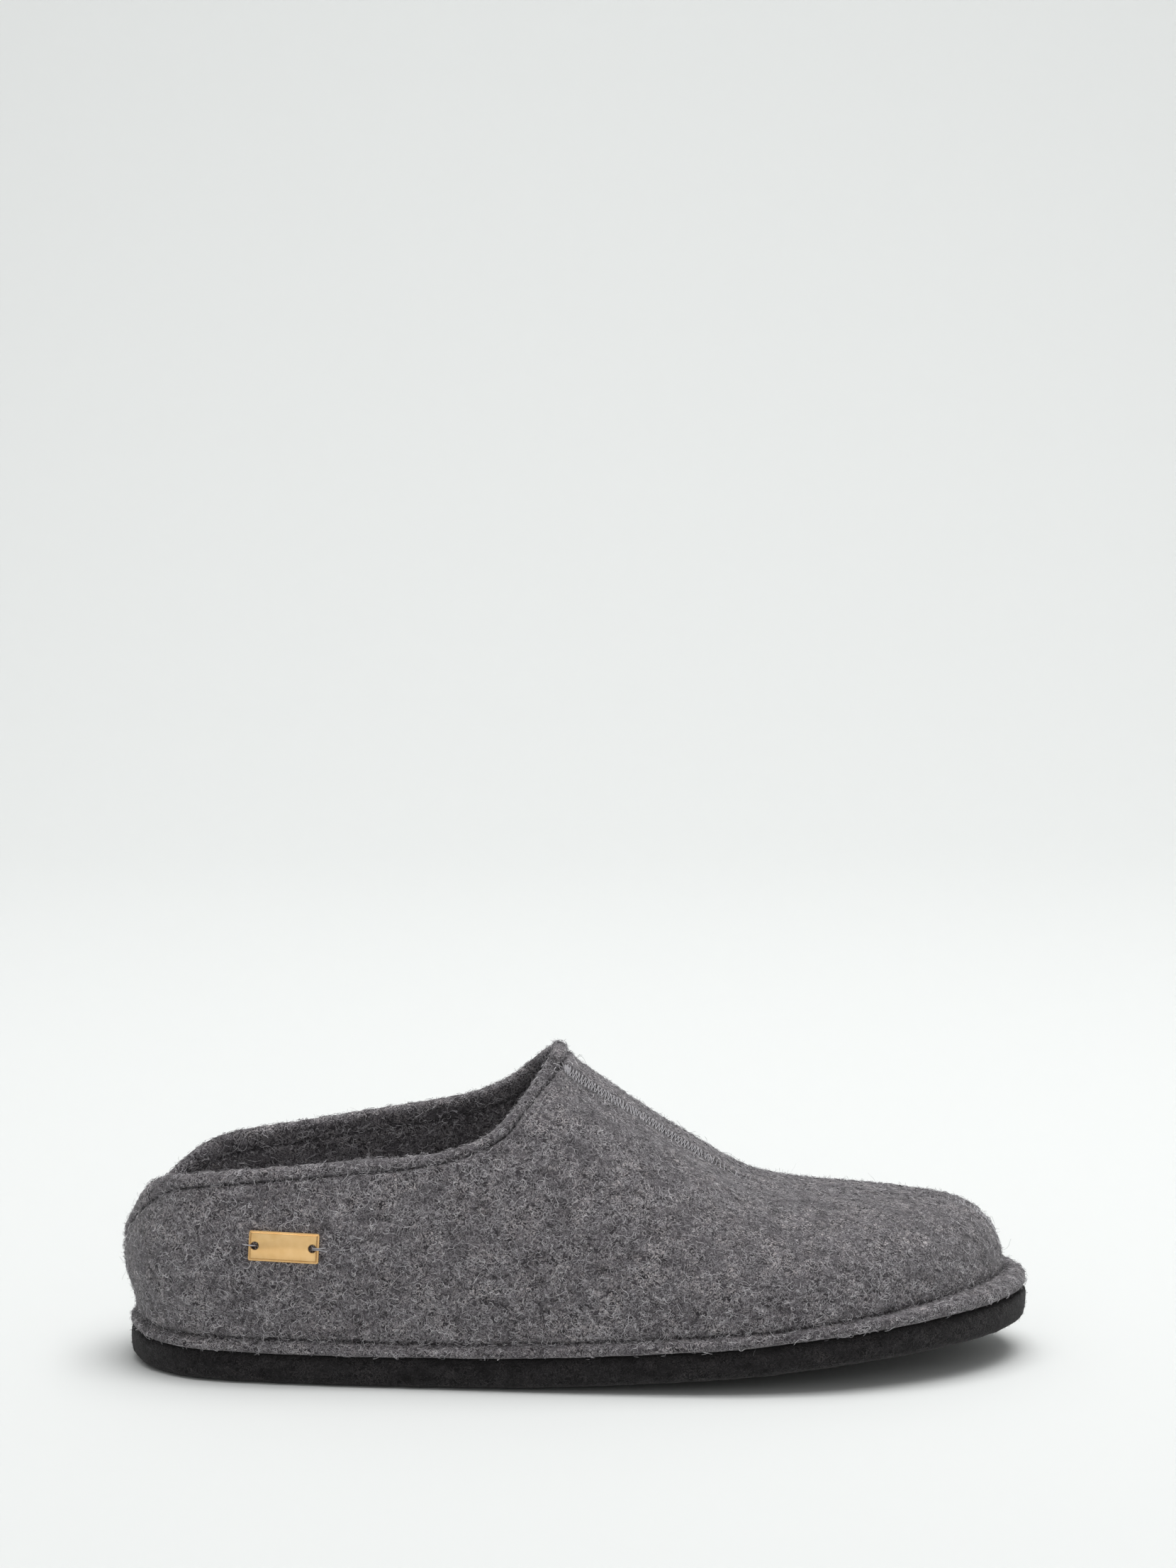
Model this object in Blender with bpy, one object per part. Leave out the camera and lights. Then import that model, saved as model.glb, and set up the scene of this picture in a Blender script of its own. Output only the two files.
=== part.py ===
"""A felt house slipper for the right foot: a closed toe, a low cup heel and a stitched-down flange.

The upper is one hollow felt wall on a shoe last that is worked out here, section by section. Its foot turns
outwards as a flange that lies on a thick dark felt outsole. A footbed lies inside, and a small brass plate is
sewn to the outer side. Everything is in metres, +X points to the toe, -Y to the outer side and +Z up. The
origin lies under the middle of the sole, on the floor.
"""

import math

import bmesh
import bpy
import numpy as np
from mathutils import Matrix, Vector

# Outsole
SOLE_LENGTH = 0.270
SOLE_WIDTH = 0.098
SOLE_THICKNESS = 0.0088
SOLE_EDGE_ROUND = 0.0020
TOE_SPRING = 0.0100
EDGE_LIFT = 0.0046
FLAT_SHARE = 0.42

# Upper
INSTEP_HEIGHT = 0.0945
COLLAR_HEIGHT = 0.0660
WALL_THICKNESS = 0.0038
FLANGE_THICKNESS = 0.0029
FLANGE_ROUND = 0.0011
FLANGE_WIDTH = 0.0024
TOE_FLANGE_EXTRA = 0.0050
TOE_FLANGE_RISE = 0.0018
FLANGE_SLOPE = 0.30
HEEL_BULGE = 0.0042
BULGE_HEIGHT = 0.0200
LIP_HEIGHT = 0.0019

# Footbed
FOOTBED_THICKNESS = 0.0065
HEEL_CUP = 0.0050
ARCH_RAISE = 0.0060
FOOTBED_EDGE_ROUND = 0.0010

# Name plate, left bare
PLATE_LENGTH = 0.0208
PLATE_HEIGHT = 0.0088
PLATE_BASE = 0.0006
PLATE_FIELD = 0.0005
PLATE_BORDER = 0.0005
PLATE_CORNER = 0.0006
PLATE_HOLE_RADIUS = 0.0012
PLATE_HOLE_INSET = 0.0019
PLATE_FROM_HEEL = 0.0485
PLATE_ABOVE_FLOOR = 0.0412
PLATE_TILT = math.radians(-1.8)

CLEARANCE = 0.0003

# How finely the solids are cut
QUARTER_STATIONS = 30
VAMP_STATIONS = 26
WALL_ROWS = 13
RIM_STEPS = 4
PLATE_HOLE_SIDES = 24


def table(names, rows):
    """A table of sections: each name gives one column as an array."""
    return dict(zip(names.split(), np.array(rows).T))


# Plan of the sole, from the heel to the toe: "at" in lengths from the heel end, the sides in sole widths.
OUTLINE = table(
    "at outer inner",
    [
        (0.000, 0.000, 0.000),
        (0.011, -0.138, 0.143),
        (0.037, -0.240, 0.250),
        (0.081, -0.322, 0.321),
        (0.148, -0.368, 0.342),
        (0.241, -0.403, 0.335),
        (0.333, -0.430, 0.332),
        (0.426, -0.460, 0.347),
        (0.519, -0.485, 0.390),
        (0.630, -0.503, 0.450),
        (0.722, -0.494, 0.484),
        (0.796, -0.455, 0.488),
        (0.870, -0.372, 0.455),
        (0.926, -0.272, 0.392),
        (0.963, -0.172, 0.312),
        (0.989, -0.062, 0.208),
        (1.000, 0.075, 0.075),
    ],
)

# The underside: the spring of the middle in toe springs, the curl of the edges in edge lifts.
ROCKER = table(
    "at spring lift",
    [
        (0.00, 0.16, 0.00),
        (0.02, 0.07, 0.00),
        (0.05, 0.00, 0.02),
        (0.12, 0.00, 0.04),
        (0.20, 0.00, 0.00),
        (0.34, 0.00, 0.05),
        (0.46, 0.00, 0.24),
        (0.56, 0.00, 0.58),
        (0.66, 0.00, 0.94),
        (0.74, 0.17, 1.04),
        (0.82, 0.45, 0.82),
        (0.90, 0.72, 0.52),
        (0.96, 0.92, 0.24),
        (1.00, 1.05, 0.12),
    ],
)

# Crest of the last: "crest" is where it lies along the length, "side" in sole widths and "height" in instep
# heights. Behind the throat the crest is the open top of the last, which the collar cuts off. "full" is the
# power of the oval that each section follows and "bulge" its outward swell, in heel bulges.
CREST = table(
    "at crest side height full bulge",
    [
        (0.000, 0.125, 0.010, 1.000, 3.00, 1.00),
        (0.080, 0.150, 0.010, 1.000, 2.80, 0.80),
        (0.200, 0.215, 0.000, 1.000, 2.50, 0.50),
        (0.340, 0.345, 0.000, 1.000, 2.30, 0.40),
        (0.420, 0.423, 0.005, 1.003, 2.18, 0.40),
        (0.455, 0.456, 0.010, 0.996, 2.12, 0.40),
        (0.481, 0.481, 0.014, 0.980, 2.08, 0.40),
        (0.492, 0.492, 0.016, 0.956, 2.06, 0.40),
        (0.508, 0.507, 0.018, 0.926, 2.05, 0.40),
        (0.540, 0.538, 0.022, 0.860, 2.05, 0.40),
        (0.590, 0.586, 0.028, 0.762, 2.06, 0.40),
        (0.640, 0.634, 0.034, 0.675, 2.10, 0.40),
        (0.690, 0.682, 0.042, 0.584, 2.16, 0.40),
        (0.740, 0.729, 0.050, 0.546, 2.22, 0.40),
        (0.800, 0.780, 0.058, 0.528, 2.26, 0.40),
        (0.870, 0.828, 0.066, 0.514, 2.30, 0.35),
        (0.926, 0.856, 0.071, 0.507, 2.32, 0.25),
        (0.963, 0.868, 0.074, 0.504, 2.32, 0.15),
        (0.989, 0.874, 0.075, 0.503, 2.32, 0.10),
        (1.000, 0.876, 0.075, 0.503, 2.32, 0.10),
    ],
)
PEAK_SHARE = 0.481

# The thick edge of the collar stands up over the crest at the throat: its rise there, in lip heights.
LIP = table(
    "at rise",
    [
        (0.430, 0.00),
        (0.455, 0.45),
        (0.470, 0.85),
        (0.481, 1.00),
        (0.488, 0.55),
        (0.495, 0.00),
        (0.510, 0.00),
    ],
)

# The line on which the collar cuts the outer face, in collar heights, on the outer and on the inner side.
COLLAR = table(
    "at outer inner",
    [
        (0.000, 0.600, 0.600),
        (0.005, 0.700, 0.625),
        (0.012, 0.785, 0.662),
        (0.025, 0.852, 0.722),
        (0.042, 0.880, 0.795),
        (0.061, 0.893, 0.860),
        (0.090, 0.912, 0.908),
        (0.150, 0.934, 0.955),
        (0.225, 0.966, 1.008),
        (0.290, 0.990, 1.059),
        (0.345, 1.013, 1.100),
        (0.370, 1.036, 1.123),
        (0.390, 1.070, 1.149),
        (0.410, 1.122, 1.187),
        (0.430, 1.200, 1.240),
        (0.447, 1.279, 1.300),
        (0.461, 1.350, 1.360),
        (0.472, 1.404, 1.406),
        (0.481, 1.432, 1.432),
    ],
)

# Footbed: its thickness in footbed thicknesses, its raised rim in heel cups and its arch in arch raises.
FOOTBED = table(
    "at thick cup arch",
    [
        (0.00, 1.00, 1.00, 0.00),
        (0.12, 1.00, 1.00, 0.10),
        (0.28, 1.05, 0.70, 0.60),
        (0.42, 1.05, 0.40, 1.00),
        (0.56, 0.95, 0.20, 0.50),
        (0.70, 0.80, 0.10, 0.00),
        (0.85, 0.70, 0.05, 0.00),
        (1.00, 0.65, 0.00, 0.00),
    ],
)


def along(rows, column, share):
    """A column of a table, read smoothly at a share of the length."""
    keys = rows["at"]
    values = rows[column]
    slopes = np.gradient(values, keys)
    first = np.clip(np.searchsorted(keys, share) - 1, 0, len(keys) - 2)
    span = keys[first + 1] - keys[first]
    s = np.clip((share - keys[first]) / span, 0.0, 1.0)
    rise = values[first + 1] - values[first]
    enter = slopes[first] * span
    leave = slopes[first + 1] * span
    return values[first] + s * (enter + s * (3 * rise - 2 * enter - leave + s * (enter + leave - 2 * rise)))


def closed_spline(points):
    """Control points of the closed cubic spline that runs through the points."""
    unit = np.eye(len(points))
    system = (4 * unit + np.roll(unit, 1, 0) + np.roll(unit, -1, 0)) / 6
    return np.linalg.solve(system, points)


def on_spline(controls, place):
    """Point and direction of a closed spline at a place counted in its own points."""
    count = len(controls)
    i = int(math.floor(place))
    s = place - i
    a, b, c, d = (controls[(i + k) % count] for k in (-1, 0, 1, 2))
    point = (
        a * (1 - s) ** 3
        + b * (3 * s**3 - 6 * s**2 + 4)
        + c * (-3 * s**3 + 3 * s**2 + 3 * s + 1)
        + d * s**3
    ) / 6
    way = (-a * (1 - s) ** 2 + b * (3 * s**2 - 4 * s) + c * (-3 * s**2 + 2 * s + 1) + d * s**2) / 2
    return point, way


class Last:
    """The shoe last: the plan of the sole, and the oval section over every station of it."""

    def __init__(self):
        x = (OUTLINE["at"] - 0.5) * SOLE_LENGTH
        outer = np.column_stack([x, OUTLINE["outer"] * SOLE_WIDTH])
        inner = np.column_stack([x, OUTLINE["inner"] * SOLE_WIDTH])
        self.rows = len(x) - 1
        self.turn = 2 * self.rows
        self.controls = closed_spline(np.concatenate([outer, inner[-2:0:-1]]))
        places = np.linspace(0.0, self.rows, 16 * self.rows + 1)
        lower = np.array([on_spline(self.controls, p)[0] for p in places])
        upper = np.array([on_spline(self.controls, self.turn - p)[0] for p in places])
        self.x = np.maximum.accumulate(lower[:, 0])
        self.places = places
        self.middle = (lower[:, 1] + upper[:, 1]) / 2
        self.half = (upper[:, 1] - lower[:, 1]) / 2
        self.peak = self.place_at((PEAK_SHARE - 0.5) * SOLE_LENGTH)

    def place_at(self, x):
        """The place on the outer side that lies at this x."""
        return float(np.interp(x, self.x, self.places))

    def plan(self, place, inset=0.0):
        """A point of the sole's edge, moved inwards by the inset, and the outward direction there."""
        point, way = on_spline(self.controls, place)
        out = np.array([way[1], -way[0]]) / np.hypot(*way)
        return point - inset * out, out

    def share(self, x):
        return float(np.clip(x / SOLE_LENGTH + 0.5, 0.0, 1.0))

    def underside(self, x, y):
        """Height of the sole's underside: flat in the middle, sprung at the toe, curled up at the edges."""
        half = max(np.interp(x, self.x, self.half), 1e-6)
        across = min(abs(y - np.interp(x, self.x, self.middle)) / half, 1.0)
        curl = max(across - FLAT_SHARE, 0.0) / (1 - FLAT_SHARE)
        share = self.share(x)
        spring = max(along(ROCKER, "spring", share), 0.0) * TOE_SPRING
        lift = max(along(ROCKER, "lift", share), 0.0) * EDGE_LIFT
        return spring + lift * curl * curl * (3 - 2 * curl)

    def sole_top(self, point):
        return self.underside(*point) + SOLE_THICKNESS

    def toe_share(self, place):
        """From 0 along the foot to 1 at the tip of the toe."""
        toe = np.clip((self.share(self.plan(place)[0][0]) - 0.75) / 0.25, 0.0, 1.0)
        return toe * toe * (3 - 2 * toe)

    def flange_width(self, place):
        """The flange is wider round the toe, where the wall leans back."""
        return FLANGE_WIDTH + TOE_FLANGE_EXTRA * self.toe_share(place)

    def flange_thickness(self, place):
        return FLANGE_THICKNESS + TOE_FLANGE_RISE * self.toe_share(place)

    def crest(self, share):
        """Top of the section whose foot stands at this share of the length."""
        return np.array(
            [
                (along(CREST, "crest", share) - 0.5) * SOLE_LENGTH,
                along(CREST, "side", share) * SOLE_WIDTH,
                along(CREST, "height", share) * INSTEP_HEIGHT,
            ]
        )

    def wall(self, place, angle):
        """The upper's outer face: 0 is the crease over the flange, a quarter turn is the crest."""
        foot, out = self.plan(place, self.flange_width(place))
        share = self.share(self.plan(place)[0][0])
        slope = FLANGE_SLOPE * (self.flange_width(place) - FLANGE_WIDTH)
        base = self.sole_top(foot) + CLEARANCE + self.flange_thickness(place) + slope
        crest = self.crest(share)
        power = 2.0 / along(CREST, "full", share)
        level = max(math.cos(angle), 0.0) ** power
        rise = max(math.sin(angle), 0.0) ** power * (crest[2] - base)
        rise += max(along(LIP, "rise", share), 0.0) * LIP_HEIGHT * max(math.sin(angle), 0.0) ** 12
        lift = rise / BULGE_HEIGHT
        swell = along(CREST, "bulge", share) * HEEL_BULGE * (lift * math.exp(1 - lift)) ** 3
        flat = crest[:2] + (foot - crest[:2]) * level + out * swell
        return np.array([flat[0], flat[1], base + rise])

    def angle_at(self, place, height):
        """The angle at which the outer face reaches a height."""
        low, high = 0.0, math.pi / 2
        for _ in range(30):
            middle = (low + high) / 2
            if self.wall(place, middle)[2] < height:
                low = middle
            else:
                high = middle
        return (low + high) / 2

    def collar_angle(self, place):
        """Where the collar cuts the section. The rounded rim stands above this by half the wall."""
        side = "outer" if place < self.rows else "inner"
        share = self.share(self.plan(place)[0][0])
        return self.angle_at(place, along(COLLAR, side, share) * COLLAR_HEIGHT)


LAST = Last()


def ring_places():
    """Places all round the sole: out along the outer side to the toe, and back along the inner side.

    They lie closer towards the throat, where the collar turns across the foot.
    """
    back = np.linspace(0.0, 1.0, QUARTER_STATIONS + 1)
    front = np.linspace(0.0, 1.0, VAMP_STATIONS + 1)[1:]
    back = LAST.peak * np.sin(np.pi / 2 * back)
    front = LAST.peak + (LAST.rows - LAST.peak) * (front - 0.75 * np.sin(np.pi * front) / np.pi)
    outer = np.concatenate([back, front])
    return np.concatenate([outer, LAST.turn - outer[-2:0:-1]])


PLACES = ring_places()
RING = len(PLACES)
TOE = RING // 2


def new_object(name, mesh_data, material, smooth_angle):
    """Turn a finished bmesh into a named object with its own material."""
    mesh = bpy.data.meshes.new(name)
    bmesh.ops.recalc_face_normals(mesh_data, faces=mesh_data.faces)
    mesh_data.to_mesh(mesh)
    mesh_data.free()
    mesh.shade_smooth()
    mesh.set_sharp_from_angle(angle=smooth_angle)
    mesh.materials.append(material)
    piece = bpy.data.objects.new(name, mesh)
    bpy.context.scene.collection.objects.link(piece)
    return piece


def principled(name, colour, roughness, metallic=0.0):
    """A plain material with the colour, roughness and metallic value of the real one."""
    material = bpy.data.materials.new(name)
    material.use_nodes = True
    shader = material.node_tree.nodes["Principled BSDF"]
    shader.inputs["Base Color"].default_value = (*colour, 1.0)
    shader.inputs["Roughness"].default_value = roughness
    shader.inputs["Metallic"].default_value = metallic
    return material


def bridge(bm, lower, upper):
    """Faces between two rings of vertices. Where both rings share a vertex the face has three corners."""
    count = len(lower)
    for k in range(count):
        after = (k + 1) % count
        corners = [lower[k], lower[after], upper[after], upper[k]]
        bm.faces.new(list(dict.fromkeys(corners)))


def outer_rings():
    """Rings of points up the outer face: the flange's rounded edge, the crease, then the wall."""
    flange = []
    for inset, top_share, lift in (
        (FLANGE_ROUND, 0.0, 0.0),
        (0.0, 0.0, FLANGE_ROUND),
        (0.0, 1.0, -FLANGE_ROUND),
        (FLANGE_ROUND, 1.0, 0.0),
    ):
        ring = []
        for place in PLACES:
            point = LAST.plan(place, inset)[0]
            height = top_share * LAST.flange_thickness(place) + lift
            ring.append([*point, LAST.sole_top(point) + CLEARANCE + height])
        flange.append(ring)
    open_top = [k < QUARTER_STATIONS or k > RING - QUARTER_STATIONS for k in range(RING)]
    tops = [LAST.collar_angle(p) if is_open else math.pi / 2 for p, is_open in zip(PLACES, open_top)]
    wall = [
        [LAST.wall(place, top * row / WALL_ROWS) for place, top in zip(PLACES, tops)]
        for row in range(WALL_ROWS + 1)
    ]
    return flange, wall


def wall_sheet(wall):
    """The wall's outer face as a mesh: its vertices by ring, with the halves joined along the crest."""
    bm = bmesh.new()
    rings = [[bm.verts.new(point) for point in ring] for ring in wall[:-1]]
    top = [None] * RING
    for k in range(RING):
        twin = RING - k
        if TOE < k <= RING - QUARTER_STATIONS:
            top[k] = top[twin]
        else:
            top[k] = bm.verts.new(wall[-1][k])
    rings.append(top)
    for lower, upper in zip(rings, rings[1:]):
        bridge(bm, lower, upper)
    bm.normal_update()
    return bm, rings


def rim_loop(top):
    """The collar's vertices in order: outer side to the throat, then the inner side back to the heel."""
    return top[: QUARTER_STATIONS + 1] + top[RING - QUARTER_STATIONS + 1 :]


def rounded_rim(rim, inner_rim):
    """Rings of points that round the collar's edge over from the outer face to the inner one."""
    rings = []
    count = len(rim)
    for step in range(1, RIM_STEPS):
        angle = math.pi * step / RIM_STEPS
        ring = []
        for k in range(count):
            outer, inner = rim[k].co, inner_rim[k].co
            tangent = rim[(k + 1) % count].co - rim[k - 1].co
            away = tangent.cross(outer - inner).normalized()
            if away.z < 0:
                away = -away
            middle = (outer + inner) / 2
            ring.append(middle + (outer - middle) * math.cos(angle) + away * (WALL_THICKNESS / 2 * math.sin(angle)))
        rings.append(ring)
    return rings


def make_upper():
    """One hollow wall: outer face, rounded collar, inner face and the flange it stands on."""
    flange, wall = outer_rings()
    bm, rings = wall_sheet(wall)
    outward = {vertex: vertex.normal.copy() for ring in rings for vertex in ring}
    for place, vertex in zip(PLACES, rings[0]):
        outward[vertex] = Vector((*LAST.plan(place)[1], 0.0))

    inner_of = {}
    for vertex, direction in outward.items():
        inner_of[vertex] = bm.verts.new(vertex.co - direction * WALL_THICKNESS)
    inner = [[inner_of[vertex] for vertex in ring] for ring in rings]
    for lower, upper in zip(inner, inner[1:]):
        bridge(bm, lower, upper)

    below = [[bm.verts.new(point) for point in ring] for ring in flange]
    for lower, upper in zip(below, below[1:] + [rings[0]]):
        bridge(bm, lower, upper)
    inner_foot = []
    for vertex in inner[0]:
        height = LAST.sole_top(vertex.co.xy) + CLEARANCE
        inner_foot.append(bm.verts.new((vertex.co.x, vertex.co.y, height)))
    bridge(bm, inner_foot, inner[0])
    bridge(bm, inner_foot, below[0])

    rim = rim_loop(rings[-1])
    inner_rim = [inner_of[vertex] for vertex in rim]
    rounded = [[bm.verts.new(point) for point in ring] for ring in rounded_rim(rim, inner_rim)]
    for lower, upper in zip([rim] + rounded, rounded + [inner_rim]):
        bridge(bm, lower, upper)
    felt = principled("grey_wool_felt", (0.115, 0.108, 0.117), 0.95)
    return new_object("upper", bm, felt, math.radians(50))


def slab(bm, columns, foot, under, over, edge_rings):
    """A closed slab over the plan: an underside and a top cut into the same columns, joined round the edge.

    foot(k) is a plan point of the ring, under and over give the heights of the two faces, and edge_rings lists
    the rings of the side from the underside to the top as pairs of inset and height rule.
    """
    faces = []
    for inset, height in (edge_rings[0], edge_rings[-1]):
        grid = []
        for station in range(TOE + 1):
            near = np.array(foot(station, inset))
            far = np.array(foot((RING - station) % RING, inset))
            if station in (0, TOE):
                grid.append([bm.verts.new((*near, height(near)))] * len(columns))
                continue
            points = [near + (far - near) * (column + 1) / 2 for column in columns]
            rule = under if height is edge_rings[0][1] else over
            heights = [height(p) if abs(c) == 1 else rule(p, c) for p, c in zip(points, columns)]
            grid.append([bm.verts.new((*p, z)) for p, z in zip(points, heights)])
        for one, two in zip(grid, grid[1:]):
            for c in range(len(columns) - 1):
                corners = [one[c], two[c], two[c + 1], one[c + 1]]
                corners = list(dict.fromkeys(corners))
                bm.faces.new(corners)
        near_side = [row[0] for row in grid]
        far_side = [row[-1] for row in grid[1:-1]]
        faces.append(near_side + far_side[::-1])
    rings = [faces[0]]
    for inset, height in edge_rings[1:-1]:
        points = [foot(k, inset) for k in range(RING)]
        rings.append([bm.verts.new((*p, height(p))) for p in points])
    rings.append(faces[1])
    for lower, upper in zip(rings, rings[1:]):
        bridge(bm, lower, upper)


def make_outsole():
    """The dark felt sole: an even slab that follows the rocker, with a softened lower edge."""
    columns = [-1, -0.86, -0.68, -FLAT_SHARE, 0, FLAT_SHARE, 0.68, 0.86, 1]

    def foot(k, inset):
        return LAST.plan(PLACES[k], inset)[0]

    def bottom(point):
        return LAST.underside(*point)

    def top(point):
        return LAST.sole_top(point)

    bm = bmesh.new()
    slab(
        bm,
        columns,
        foot,
        lambda point, column: bottom(point),
        lambda point, column: top(point),
        [
            (SOLE_EDGE_ROUND, bottom),
            (SOLE_EDGE_ROUND * 0.3, lambda point: bottom(point) + SOLE_EDGE_ROUND * 0.3),
            (0.0, lambda point: bottom(point) + SOLE_EDGE_ROUND),
            (0.0, top),
        ],
    )
    dark_felt = principled("black_wool_felt", (0.012, 0.011, 0.012), 0.97)
    return new_object("outsole", bm, dark_felt, math.radians(40))


def make_footbed():
    """The loose-looking footbed inside: thin under the toes, cupped at the heel, raised at the arch."""
    columns = [-1, -0.72, -0.36, 0, 0.36, 0.72, 1]

    def foot(k, inset):
        place = PLACES[k]
        return LAST.plan(place, LAST.flange_width(place) + WALL_THICKNESS + CLEARANCE + inset)[0]

    def bottom(point):
        return LAST.sole_top(point) + CLEARANCE

    def top(point, column):
        share = LAST.share(point[0])
        thick = along(FOOTBED, "thick", share) * FOOTBED_THICKNESS
        cup = along(FOOTBED, "cup", share) * HEEL_CUP * abs(column) ** 2.5
        arch = along(FOOTBED, "arch", share) * ARCH_RAISE * max(column, 0.0) ** 2
        return bottom(point) + thick + cup + arch

    def side(point):
        return 1.0 if point[1] > np.interp(point[0], LAST.x, LAST.middle) else -1.0

    bm = bmesh.new()
    slab(
        bm,
        columns,
        foot,
        lambda point, column: bottom(point),
        top,
        [
            (0.0, bottom),
            (0.0, lambda point: top(point, side(point)) - FOOTBED_EDGE_ROUND),
            (FOOTBED_EDGE_ROUND, lambda point: top(point, side(point))),
        ],
    )
    pale_felt = principled("footbed_felt", (0.085, 0.080, 0.086), 0.95)
    return new_object("footbed", bm, pale_felt, math.radians(40))


def wall_frame(place, height):
    """Point, tangent and outward normal of the upper's outer face at a place and height."""
    angle = LAST.angle_at(place, height)
    step = 0.02
    point = LAST.wall(place, angle)
    forward = Vector(LAST.wall(place + step, LAST.angle_at(place + step, height)) - point).normalized()
    upward = Vector(LAST.wall(place, angle + step) - point).normalized()
    normal = forward.cross(upward).normalized()
    return Vector(point), forward, normal


def cylinder(name, radius, depth, sides):
    """A cutter: a short round bar along Z, left out of the finished object."""
    bm = bmesh.new()
    bmesh.ops.create_cone(bm, cap_ends=True, segments=sides, radius1=radius, radius2=radius, depth=depth)
    mesh = bpy.data.meshes.new(name)
    bm.to_mesh(mesh)
    bm.free()
    cutter = bpy.data.objects.new(name, mesh)
    cutter.hide_render = True
    cutter.display_type = "WIRE"
    bpy.context.scene.collection.objects.link(cutter)
    return cutter


def make_plate():
    """The brass plate: a thin base with a raised bare field and a sewing hole near each end."""
    bm = bmesh.new()
    bmesh.ops.create_cube(bm, size=1.0)
    bmesh.ops.scale(bm, vec=(PLATE_LENGTH, PLATE_HEIGHT, PLATE_BASE), verts=bm.verts)
    bmesh.ops.translate(bm, vec=(0.0, 0.0, PLATE_BASE / 2), verts=bm.verts)
    corners = [e for e in bm.edges if abs((e.verts[0].co - e.verts[1].co).normalized().z) > 0.9]
    bmesh.ops.bevel(bm, geom=corners, offset=PLATE_CORNER, segments=4, profile=0.5, affect="EDGES", material=-1)
    face = max(bm.faces, key=lambda f: f.calc_center_median().z)
    bmesh.ops.inset_region(bm, faces=[face], thickness=PLATE_BORDER, depth=0.0)
    raised = bmesh.ops.extrude_face_region(bm, geom=[face])
    upper_verts = [g for g in raised["geom"] if isinstance(g, bmesh.types.BMVert)]
    bmesh.ops.delete(bm, geom=[face], context="FACES_ONLY")
    bmesh.ops.translate(bm, vec=(0.0, 0.0, PLATE_FIELD), verts=upper_verts)
    middle = sum((v.co for v in upper_verts), Vector()) / len(upper_verts)
    shrink = Matrix.Diagonal((1 - PLATE_FIELD / PLATE_LENGTH, 1 - PLATE_FIELD / PLATE_HEIGHT, 1.0))
    for vertex in upper_verts:
        vertex.co = middle + shrink @ (vertex.co - middle)
    brass = principled("aged_brass", (0.62, 0.42, 0.17), 0.35, metallic=1.0)
    plate = new_object("name_plate", bm, brass, math.radians(30))

    place = LAST.place_at(PLATE_FROM_HEEL - SOLE_LENGTH / 2)
    point, forward, normal = wall_frame(place, PLATE_ABOVE_FLOOR)
    upright = normal.cross(forward)
    turned = Matrix((forward, upright, normal)).transposed() @ Matrix.Rotation(PLATE_TILT, 3, "Z")
    seat = Matrix.Translation(point + normal * CLEARANCE) @ turned.to_4x4()
    plate.matrix_world = seat
    for side in (-1, 1):
        hole = cylinder("plate_hole", PLATE_HOLE_RADIUS, 4 * (PLATE_BASE + PLATE_FIELD), PLATE_HOLE_SIDES)
        shift = side * (PLATE_LENGTH / 2 - PLATE_HOLE_INSET)
        hole.matrix_world = seat @ Matrix.Translation((shift, 0.0, 0.0))
        cut = plate.modifiers.new("sewing_hole", "BOOLEAN")
        cut.operation = "DIFFERENCE"
        cut.solver = "EXACT"
        cut.object = hole
    return plate


def main():
    for old in list(bpy.data.objects):
        bpy.data.objects.remove(old)
    make_outsole()
    make_footbed()
    make_upper()
    make_plate()


main()
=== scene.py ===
"""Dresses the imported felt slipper: fine felt in place of the plain solids, threads, loose wool and light.

Lengths are in metres where nothing else is said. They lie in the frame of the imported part: +X points to the
toe, -Y to the outer side and +Z up.
"""

import math

import bmesh
import bpy
import numpy as np
from bpy.props import FloatProperty, FloatVectorProperty, IntProperty, PointerProperty
from mathutils import Matrix, Vector, noise
from mathutils.bvhtree import BVHTree
from mathutils.kdtree import KDTree


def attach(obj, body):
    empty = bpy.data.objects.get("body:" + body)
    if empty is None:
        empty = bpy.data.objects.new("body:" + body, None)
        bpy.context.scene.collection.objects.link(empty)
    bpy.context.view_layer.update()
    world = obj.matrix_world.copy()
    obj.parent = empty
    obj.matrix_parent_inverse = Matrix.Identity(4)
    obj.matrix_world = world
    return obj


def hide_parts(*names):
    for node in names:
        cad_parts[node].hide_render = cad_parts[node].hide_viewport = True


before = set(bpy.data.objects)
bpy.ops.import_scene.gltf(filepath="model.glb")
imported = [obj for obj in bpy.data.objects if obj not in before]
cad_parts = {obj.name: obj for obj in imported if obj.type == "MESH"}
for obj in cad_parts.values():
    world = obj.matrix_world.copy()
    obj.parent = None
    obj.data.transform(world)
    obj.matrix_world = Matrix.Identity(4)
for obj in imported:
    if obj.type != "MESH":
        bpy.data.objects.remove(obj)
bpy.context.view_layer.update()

bl_info = {
    "name": "Felt House Slipper",
    "version": (1, 0, 0),
    "blender": (4, 5, 0),
    "location": "3D View > Sidebar > Slipper",
    "description": "Dresses a felt house slipper on its packed frame",
    "category": "Object",
}

MM = 0.001

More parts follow.
